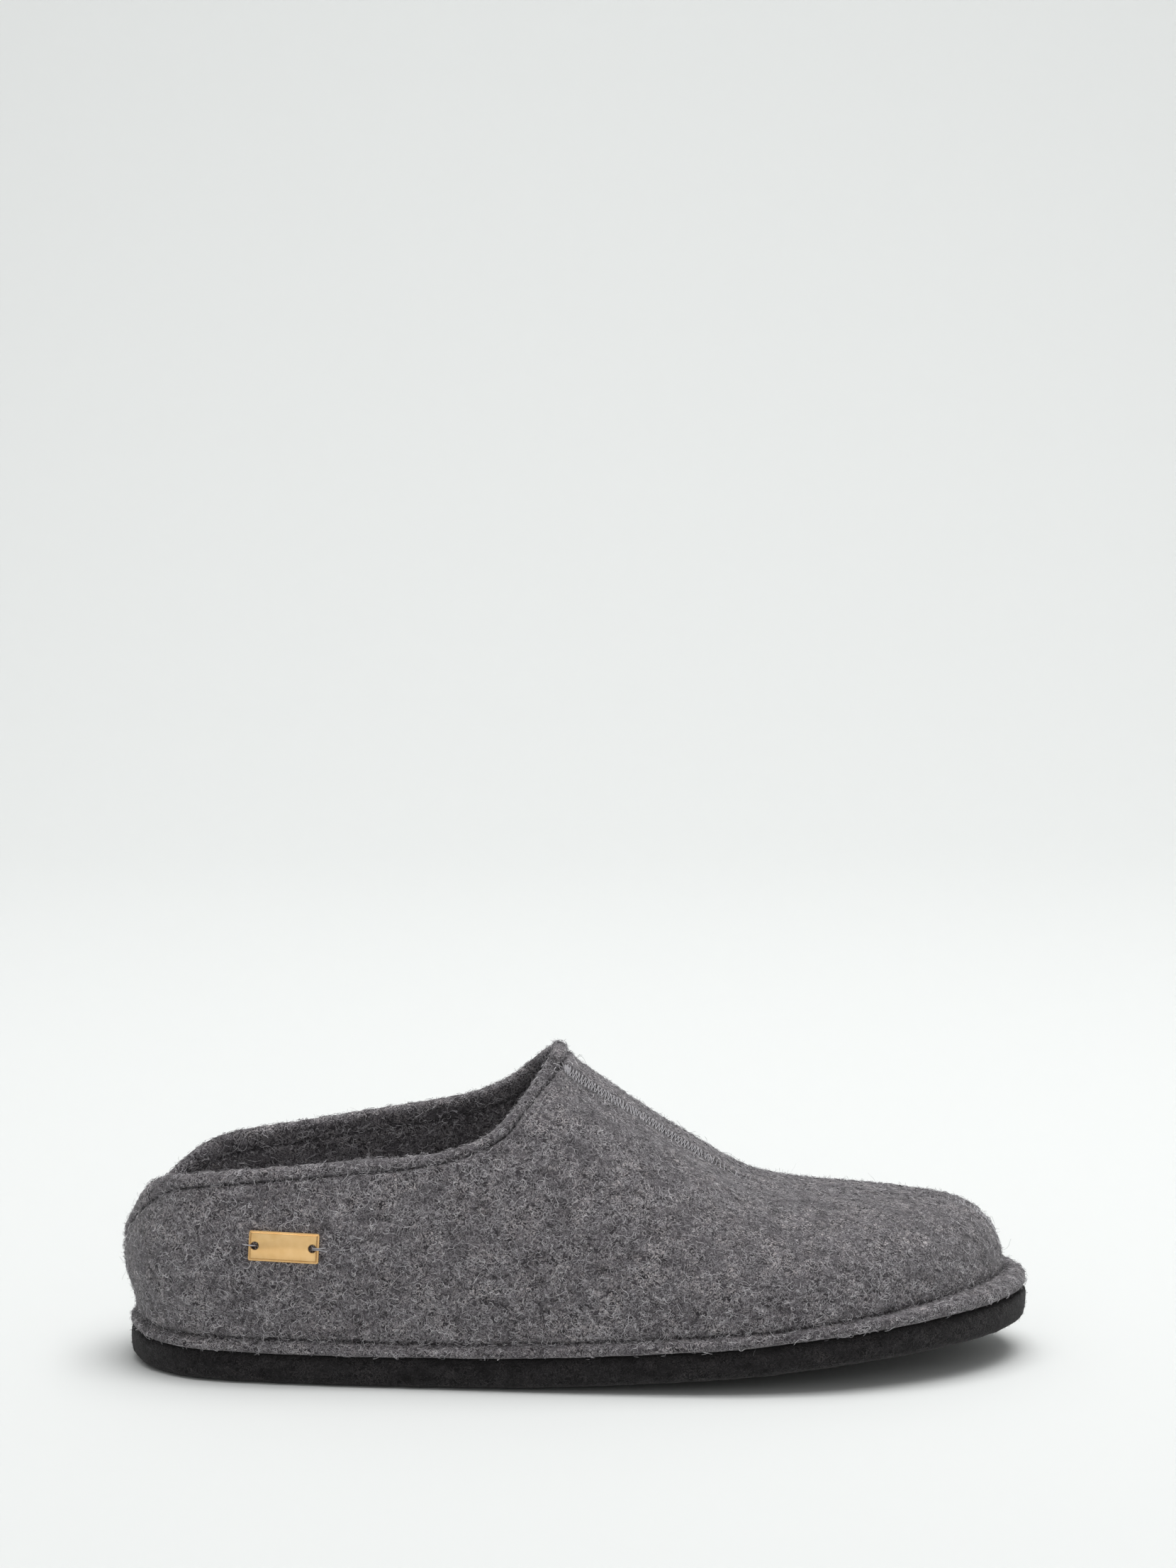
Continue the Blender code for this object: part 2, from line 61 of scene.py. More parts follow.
# The stitch line below the collar, in millimetres, from the back of the heel along the outer side to the
# throat and back along the inner side.
COLLAR_STITCH = [
    (-136.3, 0.0, 35.2),
    (-135.0, -6.0, 39.0),
    (-132.6, -11.3, 44.2),
    (-128.4, -16.8, 49.4),
    (-121.5, -22.5, 54.8),
    (-116.1, -25.8, 56.4),
    (-107.5, -28.9, 57.9),
    (-99.1, -30.4, 58.9),
    (-81.6, -31.6, 60.6),
    (-69.7, -32.5, 61.9),
    (-52.1, -32.8, 63.6),
    (-37.6, -32.9, 66.2),
    (-29.7, -32.1, 69.0),
    (-21.9, -30.5, 73.0),
    (-16.1, -26.0, 79.5),
    (-10.8, -20.4, 85.6),
    (-7.4, -15.6, 89.0),
    (-5.1, -11.3, 91.0),
    (-3.6, -5.0, 91.9),
    (-3.3, 1.5, 92.2),
    (-4.2, 8.0, 91.3),
    (-6.6, 13.6, 88.8),
    (-10.2, 17.3, 85.2),
    (-14.8, 20.3, 80.6),
    (-21.5, 22.3, 75.4),
    (-29.8, 23.4, 71.3),
    (-40.8, 24.0, 68.3),
    (-53.3, 24.9, 66.1),
    (-67.4, 26.1, 63.5),
    (-83.1, 27.9, 60.4),
    (-98.2, 29.2, 57.9),
    (-110.3, 28.7, 55.1),
    (-120.1, 25.9, 50.1),
    (-128.3, 20.5, 43.6),
    (-133.6, 11.7, 37.8),
]

# The centre seam, in millimetres, from the throat over the instep and down the front of the toe.
CENTRE_SEAM = [
    (-4.4, -11.8, 90.5),
    (0.0, -10.4, 87.0),
    (4.7, -9.7, 83.8),
    (9.7, -8.6, 80.2),
    (14.8, -7.2, 77.0),
    (19.9, -6.0, 73.6),
    (25.8, -5.6, 69.6),
    (32.1, -5.8, 65.6),
    (38.5, -5.6, 61.8),
    (48.0, -4.4, 56.4),
    (60.0, -3.0, 51.6),
    (75.0, -1.0, 49.6),
    (90.0, 1.0, 48.2),
    (104.0, 3.0, 47.0),
    (114.0, 4.2, 45.2),
    (121.0, 5.0, 41.4),
    (125.0, 5.6, 36.6),
    (127.2, 6.0, 30.6),
]

# Plan of the sole's edge, in millimetres: x, then the outer and the inner side.
SOLE_PLAN = [
    (-132.0, -13.5, 14.0),
    (-125.0, -23.5, 24.5),
    (-113.1, -31.6, 31.5),
    (-95.0, -36.1, 33.5),
    (-69.9, -39.5, 32.8),
    (-45.1, -42.1, 32.5),
    (-20.0, -45.1, 34.0),
    (5.1, -47.5, 38.2),
    (35.1, -49.3, 44.1),
    (59.9, -48.4, 47.4),
    (79.9, -44.6, 47.8),
    (99.9, -36.5, 44.6),
    (115.0, -26.7, 38.4),
    (125.0, -16.9, 30.6),
    (132.0, -6.1, 20.4),
]
SOLE_HEEL = (-135.0, 0.0)
SOLE_TOE = (135.0, 7.35)

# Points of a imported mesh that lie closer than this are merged.
MERGE = 1e-6
# Points that a smooth line is worked out at between two given ones.
FINE_POINTS = 40
# How deep under the collar's surface its stitch row comes out on the inside.
LINING_DEPTH = 0.0042

# The probes for the flange's crease: where they start outside the sole's edge, how far they reach, their
# lowest level, highest level and step, and the heights over the flange's lower edge that the crease is in.
PROBE_START = 0.02
PROBE_REACH = 0.032
PROBE_LEVELS = (0.006, 0.040, 0.0003)
CREASE_BAND = (0.0012, 0.0105)

# Soft lumps of the felts: height (in the grey felt its share of the lump setting), size, and noise number.
GREY_LUMPS = ((0.62, 0.019, 1), (0.30, 0.007, 2), (0.16, 0.0026, 3))
BLACK_LUMPS = ((0.00016, 0.006, 4), (0.00014, 0.0022, 5))

# The fibres drawn in the felt: noise grains per metre, shift of the noise, and width of the lines.
FIBRE_FIELDS = ((1150, 0.1, 0.11), (1500, 0.5, 0.13), (1850, 0.9, 0.13))
# What makes some of the pale wool a little warmer.
WARM_TINT = (1.04, 0.99, 0.95)

# Rounding of the plate's edges, and half the thickness of the threads that tie it down.
PLATE_ROUNDING = 0.00016
PLATE_THREAD_RADIUS = 0.00019

# The paper: half its width, its front edge, where it starts to bend up, the bend's radius, and its top.
PAPER_HALF_WIDTH = 3.0
PAPER_FRONT = -2.2
PAPER_BEND = 1.0
PAPER_RADIUS = 0.7
PAPER_TOP = 3.2

# The camera: its tilt in degrees, and how far it stands aside, up and back along its own axes.
CAMERA_TILT = 7.6
CAMERA_ASIDE = 0.00245
CAMERA_UP = 0.1713
CAMERA_BACK = 1.313


def from_hex(code):
    """An sRGB hex colour as the linear numbers that the shaders work in."""
    parts = [int(code[i : i + 2], 16) / 255 for i in (1, 3, 5)]
    return tuple(p / 12.92 if p <= 0.04045 else ((p + 0.055) / 1.055) ** 2.4 for p in parts)


def colour(name, code, about):
    return FloatVectorProperty(
        name=name, description=about, subtype="COLOR", size=3, min=0.0, max=1.0, default=from_hex(code)
    )


def length(name, metres, about):
    return FloatProperty(name=name, description=about, unit="LENGTH", subtype="DISTANCE", default=metres)


def power(name, watts, about):
    return FloatProperty(name=name, description=about, unit="POWER", default=watts)


def number(name, count, about):
    return IntProperty(name=name, description=about, default=count)


class FeltSettings(bpy.types.PropertyGroup):
    """Sizes and colours of the three felts."""

    voxel: length("Felt grain", 0.00095, "Size of the faces that the felt is remeshed to")
    lump: length("Lumps", 0.00028, "How far the felt swells and sinks in soft lumps")
    groove: length("Stitch groove", 0.00065, "Depth of the groove that a stitch row pulls into the felt")
    hem: length("Collar swell", 0.00045, "How far the felt swells from the stitch row to the collar's edge")
    seam_slope: length("Seam slope", 0.0011, "How far the felt falls away beside the centre seam")
    crease: length("Flange crease", 0.0008, "Depth of the crease between the wall and the flange")
    crease_drop: length("Crease drop", 0.0009, "How far below the hollow's deepest line the crease lies")
    roll: length("Flange roll", 0.00045, "How far the flange's outer edge swells")
    grey_dark: colour("Grey, dark wool", "#282528", "Dark wool in the grey felt")
    grey_mid: colour("Grey, main wool", "#5e5a5e", "Main tone of the grey felt")
    grey_light: colour("Grey, pale wool", "#d2ced2", "Pale wool in the grey felt")
    sole_dark: colour("Sole, dark wool", "#0a090a", "Dark wool in the black felt")
    sole_light: colour("Sole, pale wool", "#4d4a4c", "Grey wool in the black felt")


class ThreadSettings(bpy.types.PropertyGroup):
    """Sizes and colours of the sewing."""

    radius: length("Thread radius", 0.00021, "Half the thickness of the sewing thread")
    collar_pitch: length("Collar stitch", 0.0048, "Length of one stitch of the row under the collar")
    zigzag_pitch: length("Zigzag step", 0.00058, "Distance between two slanting threads of the centre seam")
    zigzag_width: length("Zigzag width", 0.0048, "Width of the centre seam's zigzag")
    grey: colour("Grey thread", "#a5a3a7", "Thread of the centre seam and of the plate")
    # Partly painted shade: the collar thread is real, and its dark tone also stands for the shade of the
    # groove it lies in.
    dark: colour("Dark thread", "#4a474b", "Thread of the collar, sunk in its groove")
    pale: colour("Pale thread", "#a3a4a6", "Thread in the crease over the flange")


class WoolSettings(bpy.types.PropertyGroup):
    """Numbers and sizes of the loose wool fibres."""

    pale_count: number("Pale fibres", 16000, "Pale curled fibres that lie on the felt")
    mixed_count: number("Mixed fibres", 16000, "Grey curled fibres that lie on the felt")
    dark_count: number("Dark fibres", 6000, "Dark curled fibres that lie on the felt")
    nap_count: number("Nap fibres", 20000, "Short fibres that stand off the felt")
    stray_count: number("Stray fibres", 420, "Long fibres that stand off the felt")
    sole_count: number("Sole fibres", 6000, "Short fibres on the edge of the sole")
    width: length("Fibre width", 0.00011, "Width of one loose fibre")
    seed: number("Seed", 7, "Start of the pattern of fibres")


class StageSettings(bpy.types.PropertyGroup):
    """The floor, the lamps and the camera."""

    paper: colour("Paper", "#dfe1e0", "Colour of the floor and the wall behind")
    key_power: power("Top light", 17.5, "Power of the big light overhead")
    back_power: power("Back light", 27.0, "Power of the light on the wall")
    front_power: power("Front light", 7.5, "Power of the light in front")
    sky: FloatProperty(
        name="Room light", description="Strength of the even light of the room", default=0.44, min=0.0
    )
    lens: FloatProperty(name="Lens", description="Focal length in millimetres", default=100.04, min=10.0)


def settings(group):
    return getattr(bpy.context.scene, "slipper_" + group)


def add(tree, kind, links=None, **values):
    """Adds a node. Links feed its sockets. Values set its own settings, or else the socket of that name."""
    node = tree.nodes.new(kind)
    for name, value in values.items():
        if hasattr(node, name):
            setattr(node, name, value)
        else:
            node.inputs[name.replace("_", " ")].default_value = value
    for socket, source in (links or {}).items():
        tree.links.new(source, node.inputs[socket])
    return node


def new_material(name):
    material = bpy.data.materials.new(name)
    material.use_nodes = True
    tree = material.node_tree
    tree.nodes.clear()
    return material, tree


def finish_material(tree, shader):
    output = tree.nodes.new("ShaderNodeOutputMaterial")
    tree.links.new(shader.outputs["BSDF"], output.inputs["Surface"])


def grain(tree, where, per_metre, detail, roughness=0.5):
    """Noise with this many grains per metre, as one value."""
    node = add(
        tree, "ShaderNodeTexNoise", {"Vector": where}, Scale=per_metre, Detail=detail, Roughness=roughness
    )
    return node.outputs["Fac"]


def fibre_field(tree, where, per_metre, shift):
    """A smooth noise whose middle value runs through the felt in curling lines, as single fibres do."""
    moved = add(tree, "ShaderNodeVectorMath", {0: where}, operation="ADD")
    moved.inputs[1].default_value = (shift, 2.3 * shift, 1.7 * shift)
    return grain(tree, moved.outputs["Vector"], per_metre, 0.0)


def fibre_lines(tree, field, width):
    """Thin lines where a field passes through its middle value."""
    off = add(tree, "ShaderNodeMath", {0: field}, operation="SUBTRACT")
    off.inputs[1].default_value = 0.5
    size = add(tree, "ShaderNodeMath", {0: off.outputs[0]}, operation="ABSOLUTE")
    return span(tree, size.outputs[0], width, 0.15 * width)


def span(tree, value, low, high, out_low=0.0, out_high=1.0):
    """Maps a value between two limits to another range, and holds it there."""
    node = add(
        tree,
        "ShaderNodeMapRange",
        {"Value": value},
        From_Min=low,
        From_Max=high,
        To_Min=out_low,
        To_Max=out_high,
    )
    return node.outputs["Result"]


def product(tree, first, second):
    node = tree.nodes.new("ShaderNodeMath")
    node.operation = "MULTIPLY"
    for index, value in enumerate((first, second)):
        if isinstance(value, bpy.types.NodeSocket):
            tree.links.new(value, node.inputs[index])
        else:
            node.inputs[index].default_value = value
    return node.outputs[0]


def mix(tree, factor, first, second, blend="MIX"):
    """A colour mix. Each of the two colours is a socket or a plain colour."""
    node = tree.nodes.new("ShaderNodeMix")
    node.data_type = "RGBA"
    node.blend_type = blend
    for index, value in ((0, factor), (6, first), (7, second)):
        if isinstance(value, bpy.types.NodeSocket):
            tree.links.new(value, node.inputs[index])
        elif isinstance(value, float):
            node.inputs[index].default_value = value
        else:
            node.inputs[index].default_value = (*value, 1.0)
    return node.outputs[2]


def felt_material(name, dark, mid, pale, share, sheen):
    """Wool felt, wet-pressed from mixed wool: no weave, only fibres that curl every way, and a matt nap."""
    material, tree = new_material(name)
    where = add(tree, "ShaderNodeTexCoord").outputs["Object"]
    swirl = add(tree, "ShaderNodeTexNoise", {"Vector": where}, Scale=950.0, Detail=0.0)
    turn = add(tree, "ShaderNodeVectorMath", {0: swirl.outputs["Color"]}, operation="SCALE")
    turn.inputs["Scale"].default_value = 0.0022
    curled = add(tree, "ShaderNodeVectorMath", {0: where, 1: turn.outputs["Vector"]}, operation="ADD")
    cloud = grain(tree, where, 120.0, 2.0, 0.6)
    drawn = add(tree, "ShaderNodeMapping", {"Vector": where})
    drawn.inputs["Scale"].default_value = (0.55, 1.0, 1.0)
    heather = grain(tree, drawn.outputs["Vector"], 430.0, 3.0, 0.6)
    tuft = grain(tree, drawn.outputs["Vector"], 210.0, 2.0)
    fields = [fibre_field(tree, curled.outputs["Vector"], *row[:2]) for row in FIBRE_FIELDS]
    lines = [fibre_lines(tree, field, row[2]) for field, row in zip(fields, FIBRE_FIELDS)]
    cuts = [span(tree, field, 0.42, 0.50) for field in (fields[1], fields[2], fields[0])]
    tufts = span(tree, tuft, 0.36, 0.62, 0.30 * share, share)
    base = mix(tree, span(tree, heather, 0.36, 0.62), dark, mid)
    shade = product(tree, product(tree, lines[1], cuts[1]), 0.45 * share)
    base = mix(tree, shade, base, tuple(0.55 * c for c in dark))
    first = product(tree, product(tree, lines[0], cuts[0]), tufts)
    warm = tuple(c * t for c, t in zip(pale, WARM_TINT))
    base = mix(tree, first, base, mix(tree, span(tree, cloud, 0.42, 0.58), warm, pale))
    second = product(tree, product(tree, lines[2], cuts[2]), product(tree, tufts, 0.8))
    base = mix(tree, second, base, tuple(0.75 * c for c in pale))
    patch = span(tree, cloud, 0.36, 0.64, 0.0, 0.34)
    base = mix(tree, patch, base, tuple(0.55 * m + 0.45 * d for m, d in zip(mid, dark)))
    # Painted shade: the felt darkens where the mesh marks shade along its seams, grooves and crease.
    seam_press_and_painted_shade = add(tree, "ShaderNodeAttribute", attribute_name="seam_press_and_painted_shade").outputs["Fac"]
    base = mix(tree, seam_press_and_painted_shade, base, tuple(0.30 * c for c in dark))
    height = add(tree, "ShaderNodeMath", {0: first, 1: second}, operation="ADD")
    height = add(tree, "ShaderNodeMath", {0: height.outputs[0], 1: heather}, operation="ADD")
    nap = add(tree, "ShaderNodeBump", {"Height": height.outputs[0]}, Strength=0.7, Distance=0.0004)
    shader = add(
        tree,
        "ShaderNodeBsdfPrincipled",
        {"Base Color": base, "Normal": nap.outputs["Normal"]},
        Roughness=0.95,
        Sheen_Weight=sheen,
        Sheen_Roughness=0.55,
    )
    shader.inputs["Specular IOR Level"].default_value = 0.15
    finish_material(tree, shader)
    return material


def thread_material(name, tone):
    """Spun polyester-cotton sewing thread: matt with a faint shine, and a little uneven in tone."""
    material, tree = new_material(name)
    where = add(tree, "ShaderNodeTexCoord").outputs["Object"]
    dull, bright = tuple(0.55 * c for c in tone), tuple(min(1.0, 1.3 * c) for c in tone)
    base = mix(tree, grain(tree, where, 1500.0, 2.0), dull, bright)
    shader = add(tree, "ShaderNodeBsdfPrincipled", {"Base Color": base}, Roughness=0.72, Sheen_Weight=0.2)
    finish_material(tree, shader)
    return material


def brass_material():
    """Brass-coloured plate, stamped, lacquered and brushed: warm satin, darker along its rounded edges."""
    material, tree = new_material("lacquered_brass")
    where = add(tree, "ShaderNodeTexCoord").outputs["Object"]
    stretch = add(tree, "ShaderNodeMapping", {"Vector": where})
    stretch.inputs["Scale"].default_value = (1.0, 1.0, 14.0)
    brushing = grain(tree, stretch.outputs["Vector"], 900.0, 3.0)
    tarnish = grain(tree, where, 260.0, 3.0)
    tone = mix(tree, tarnish, from_hex("#e0b06c"), from_hex("#ffdba2"))
    edges = add(tree, "ShaderNodeBevel", samples=4, Radius=0.0004)
    flat = add(tree, "ShaderNodeNewGeometry")
    turn = add(
        tree,
        "ShaderNodeVectorMath",
        {0: edges.outputs["Normal"], 1: flat.outputs["Normal"]},
        operation="DOT_PRODUCT",
    )
    tone = mix(tree, span(tree, turn.outputs["Value"], 0.80, 0.995), from_hex("#7a4d22"), tone)
    gloss = span(tree, brushing, 0.0, 1.0, 0.26, 0.42)
    relief = add(tree, "ShaderNodeBump", {"Height": brushing}, Strength=0.12, Distance=0.00005)
    shader = add(
        tree,
        "ShaderNodeBsdfPrincipled",
        {"Base Color": tone, "Roughness": gloss, "Normal": relief.outputs["Normal"]},
        Metallic=0.75,
    )
    finish_material(tree, shader)
    return material


def paper_material():
    """Seamless studio paper, rolled: matt and nearly white."""
    material, tree = new_material("studio_paper")
    shader = add(tree, "ShaderNodeBsdfPrincipled", Roughness=0.9)
    shader.inputs["Base Color"].default_value = (*settings("stage").paper, 1.0)
    shader.inputs["Specular IOR Level"].default_value = 0.1
    finish_material(tree, shader)
    return material


def new_piece(name, mesh, material):
    """A finished piece at the origin, riding on the slipper."""
    piece = bpy.data.objects.new(name, mesh)
    bpy.context.scene.collection.objects.link(piece)
    mesh.materials.clear()
    mesh.materials.append(material)
    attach(piece, "root")
    return piece


def evaluated_mesh(piece, name):
    """The piece's mesh with its modifiers applied, under a new name. The piece itself is removed."""
    graph = bpy.context.evaluated_depsgraph_get()
    mesh = bpy.data.meshes.new_from_object(piece.evaluated_get(graph))
    mesh.name = name
    bpy.data.objects.remove(piece)
    return mesh


def felt_mesh(node, name, levels, voxel):
    """A CAD node as an even mesh of felt: merged, rounded by subdivision and remeshed to small faces."""
    bm = bmesh.new()
    bm.from_mesh(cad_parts[node].data)
    bmesh.ops.remove_doubles(bm, verts=bm.verts, dist=MERGE)
    bmesh.ops.join_triangles(
        bm,
        faces=bm.faces,
        cmp_seam=False,
        cmp_sharp=False,
        cmp_uvs=False,
        cmp_vcols=False,
        cmp_materials=False,
        angle_face_threshold=math.radians(40),
        angle_shape_threshold=math.radians(55),
    )
    mesh = bpy.data.meshes.new(name + "_shape")
    bm.to_mesh(mesh)
    bm.free()
    piece = bpy.data.objects.new(name + "_shape", mesh)
    bpy.context.scene.collection.objects.link(piece)
    smooth = piece.modifiers.new("round", "SUBSURF")
    smooth.levels = smooth.render_levels = levels
    grain = piece.modifiers.new("grain", "REMESH")
    grain.mode = "VOXEL"
    grain.voxel_size = voxel
    settle = piece.modifiers.new("settle", "SMOOTH")
    settle.factor = 0.5
    settle.iterations = 3
    return evaluated_mesh(piece, name)


def coordinates(mesh):
    co = np.empty(len(mesh.vertices) * 3)
    mesh.vertices.foreach_get("co", co)
    return co.reshape(-1, 3)


def normals(mesh):
    no = np.empty(len(mesh.vertices) * 3)
    mesh.vertices.foreach_get("normal", no)
    return no.reshape(-1, 3)


def lumps(points, size, seed):
    """Soft noise from -1 to 1 at each point, with lumps of about this size."""
    shift = Vector((seed * 7.31, seed * 3.17, seed * 5.93))
    return np.array([noise.noise(Vector(p) / size + shift) for p in points])


def smooth_line(points, step, closed=False):
    """Even points along a smooth curve through the given ones, which are in millimetres."""
    p = np.array(points, float) * MM
    count = len(p)
    spans = count if closed else count - 1
    ts = np.linspace(0, 1, FINE_POINTS, endpoint=False)
    fine = []
    for i in range(spans):
        if closed:
            a, b, c, d = (p[(i + k) % count] for k in (-1, 0, 1, 2))
        else:
            a, b, c, d = (p[min(max(i + k, 0), count - 1)] for k in (-1, 0, 1, 2))
        t = ts[:, None]
        fine.append(
            0.5
            * (
                2 * b
                + (c - a) * t
                + (2 * a - 5 * b + 4 * c - d) * t**2
                + (3 * b - a - 3 * c + d) * t**3
            )
        )
    fine = np.concatenate(fine + [p[:1] if closed else p[-1:]])
    run = np.concatenate([[0], np.cumsum(np.linalg.norm(np.diff(fine, axis=0), axis=1))])
    count = max(int(round(run[-1] / step)), 2)
    at = np.linspace(0, run[-1], count + 1)
    return np.stack([np.interp(at, run, fine[:, k]) for k in range(3)], 1)


class Surface:
    """A felt's surface, to lay seams and fibres on."""

    def __init__(self, mesh):
        self.co = coordinates(mesh)
        self.no = normals(mesh)
        faces = [tuple(p.vertices) for p in mesh.polygons]
        self.tree = BVHTree.FromPolygons([Vector(c) for c in self.co], faces)
        share = np.zeros(len(self.co))
        for polygon in mesh.polygons:
            share[list(polygon.vertices)] += polygon.area
        self.share = share

    def drop(self, points):
        """The nearest points on the surface and the normals there."""
        found = [self.tree.find_nearest(Vector(p)) for p in points]
        return np.array([f[0] for f in found]), np.array([f[1] for f in found])


def refined(mesh, seams, reach):
    """Splits the faces near the seams in four, so that several faces cut each groove."""
    co = coordinates(mesh)
    near = set()
    for seam in seams:
        near.update(near_seam(seam, co, reach)[0].tolist())
    bm = bmesh.new()
    bm.from_mesh(mesh)
    edges = [e for e in bm.edges if e.verts[0].index in near and e.verts[1].index in near]
    bmesh.ops.subdivide_edges(bm, edges=edges, cuts=1, use_grid_fill=True)
    bm.to_mesh(mesh)
    bm.free()
    mesh.update()


def crease_line(surface):
    """Points along the crease between wall and flange, in millimetres, found by probes from outside."""
    outer = [(x, low, 0.0) for x, low, _ in SOLE_PLAN]
    inner = [(x, high, 0.0) for x, _, high in reversed(SOLE_PLAN)]
    plan = smooth_line([(*SOLE_HEEL, 0.0)] + outer + [(*SOLE_TOE, 0.0)] + inner, 0.004, closed=True)
    plan = plan[:-1]
    along = np.roll(plan, -1, axis=0) - np.roll(plan, 1, axis=0)
    away = np.stack([along[:, 1], -along[:, 0]], 1) / np.linalg.norm(along[:, :2], axis=1)[:, None]
    levels = np.arange(*PROBE_LEVELS)
    points = []
    for (x, y, _), (dx, dy) in zip(plan, away):
        start = Vector((x + PROBE_START * dx, y + PROBE_START * dy, 0.0))
        inward = Vector((-dx, -dy, 0.0))
        hits = [(z, surface.tree.ray_cast(start + Vector((0, 0, z)), inward)) for z in levels]
        hits = [(h[3] - PROBE_START, z) for z, h in hits if h[0] is not None and h[3] < PROBE_REACH]
        hits = np.array(hits)
        foot = hits[0, 1]
        hits = hits[(hits[:, 1] > foot + CREASE_BAND[0]) & (hits[:, 1] < foot + CREASE_BAND[1])]
        first, last = hits[0], hits[-1]
        run = (last - first) / np.linalg.norm(last - first)
        depth = (hits - first) @ np.array([run[1], -run[0]])
        deep, z = hits[depth.argmax()]
        points.append((x - dx * deep, y - dy * deep, z))
    points = np.array(points)
    for _ in range(4):
        points = (np.roll(points, 1, axis=0) + 2 * points + np.roll(points, -1, axis=0)) / 4
    return points / MM


def seam_on(surface, points, closed=False, step=0.0004):
    """A seam laid on a surface: points, normals, directions to its side, and the length run so far."""
    line = smooth_line(points, step, closed)
    spot, normal = surface.drop(line)
    for _ in range(3):
        normal[1:-1] = (normal[:-2] + 2 * normal[1:-1] + normal[2:]) / 4
    normal /= np.linalg.norm(normal, axis=1)[:, None]
    along = np.gradient(spot, axis=0)
    along /= np.linalg.norm(along, axis=1)[:, None]
    side = np.cross(normal, along)
    run = np.concatenate([[0], np.cumsum(np.linalg.norm(np.diff(spot, axis=0), axis=1))])
    return {"spot": spot, "normal": normal, "side": side, "run": run}


def at_run(seam, run, across=0.0, up=0.0):
    """Points at lengths along a seam, moved sideways and off the surface."""
    run, across, up = np.broadcast_arrays(run, across, up)
    spot, side, normal = (
        np.stack([np.interp(run, seam["run"], seam[key][:, axis]) for axis in range(3)], 1)
        for key in ("spot", "side", "normal")
    )
    return spot + side * across[:, None] + normal * up[:, None]


def laid(surface, paths, heights):
    """Paths laid on a surface, each point at its own height over it."""
    spot, normal = surface.drop(np.concatenate(paths))
    flat = spot + normal * np.concatenate(heights)[:, None]
    return np.split(flat, np.cumsum([len(path) for path in paths])[:-1])


def near_seam(seam, points, reach):
    """For points within reach of a seam: their index, run, sideways distance and height over it."""
    tree = KDTree(len(seam["spot"]))
    for i, p in enumerate(seam["spot"]):
        tree.insert(p, i)
    tree.balance()
    low, high = seam["spot"].min(0) - reach, seam["spot"].max(0) + reach
    index = np.nonzero(((points > low) & (points < high)).all(1))[0]
    keep, nearest = [], []
    for k in index:
        _, i, distance = tree.find(points[k])
        if distance < reach:
            keep.append(k)
            nearest.append(i)
    keep, nearest = np.array(keep, int), np.array(nearest, int)
    gap = points[keep] - seam["spot"][nearest]
    across = (gap * seam["side"][nearest]).sum(1)
    up = (gap * seam["normal"][nearest]).sum(1)
    return keep, seam["run"][nearest], across, up


def smoothstep(low, high, value):
    t = np.clip((value - low) / (high - low), 0, 1)
    return t * t * (3 - 2 * t)


def tubes(name, paths, radius, sides_level=1):
    """Many threads as one mesh: a Blender curve with a round bevel along each path."""
    curve = bpy.data.curves.new(name, "CURVE")
    curve.dimensions = "3D"
    curve.bevel_depth = radius
    curve.bevel_resolution = sides_level
    curve.use_fill_caps = True
    add_paths(curve, paths)
    return curve_mesh(curve, name)


def ribbons(name, paths, width):
    """Many loose fibres as one mesh: a Blender curve with a flat cross-section along each path."""
    curve = bpy.data.curves.new(name, "CURVE")
    curve.dimensions = "3D"
    curve.extrude = width / 2
    add_paths(curve, paths)
    return curve_mesh(curve, name)


def add_paths(curve, paths):
    for path in paths:
        spline = curve.splines.new("POLY")
        spline.points.add(len(path) - 1)
        flat = np.ones((len(path), 4), np.float32)
        flat[:, :3] = path
        spline.points.foreach_set("co", flat.ravel())


def curve_mesh(curve, name):
    piece = bpy.data.objects.new(name + "_curve", curve)
    bpy.context.scene.collection.objects.link(piece)
    bpy.context.view_layer.update()
    mesh = evaluated_mesh(piece, name)
    mesh.shade_smooth()
    return mesh


def stitches(seam, start, end, pitch, gap, lift, dip, points=6, across=0.0):
    """A row of separate stitches: each rises out of the felt, runs along the seam and dives back in."""
    paths = []
    at = start
    t = np.linspace(0, 1, points)
    up = lift - (lift + dip) * np.abs(2 * t - 1) ** 5
    while at + pitch - gap <= end:
        paths.append(at_run(seam, at + t * (pitch - gap), across, up))
        at += pitch
    return paths


class Upper:
    """What the pieces of the upper share: its finished surface and the seams on it."""

    surface = None
    collar = None
    lining = None
    centre = None
    crease = None


def dashes(run, pitch, share=0.72):
    """1 along each stitch and lower at the holes between them."""
    at = np.abs((run / pitch) % 1.0 - 0.5) * 2
    return 0.35 + 0.65 * (1 - smoothstep(share, 1.0, at))


def bell(value, width):
    return np.exp(-((value / width) ** 2))


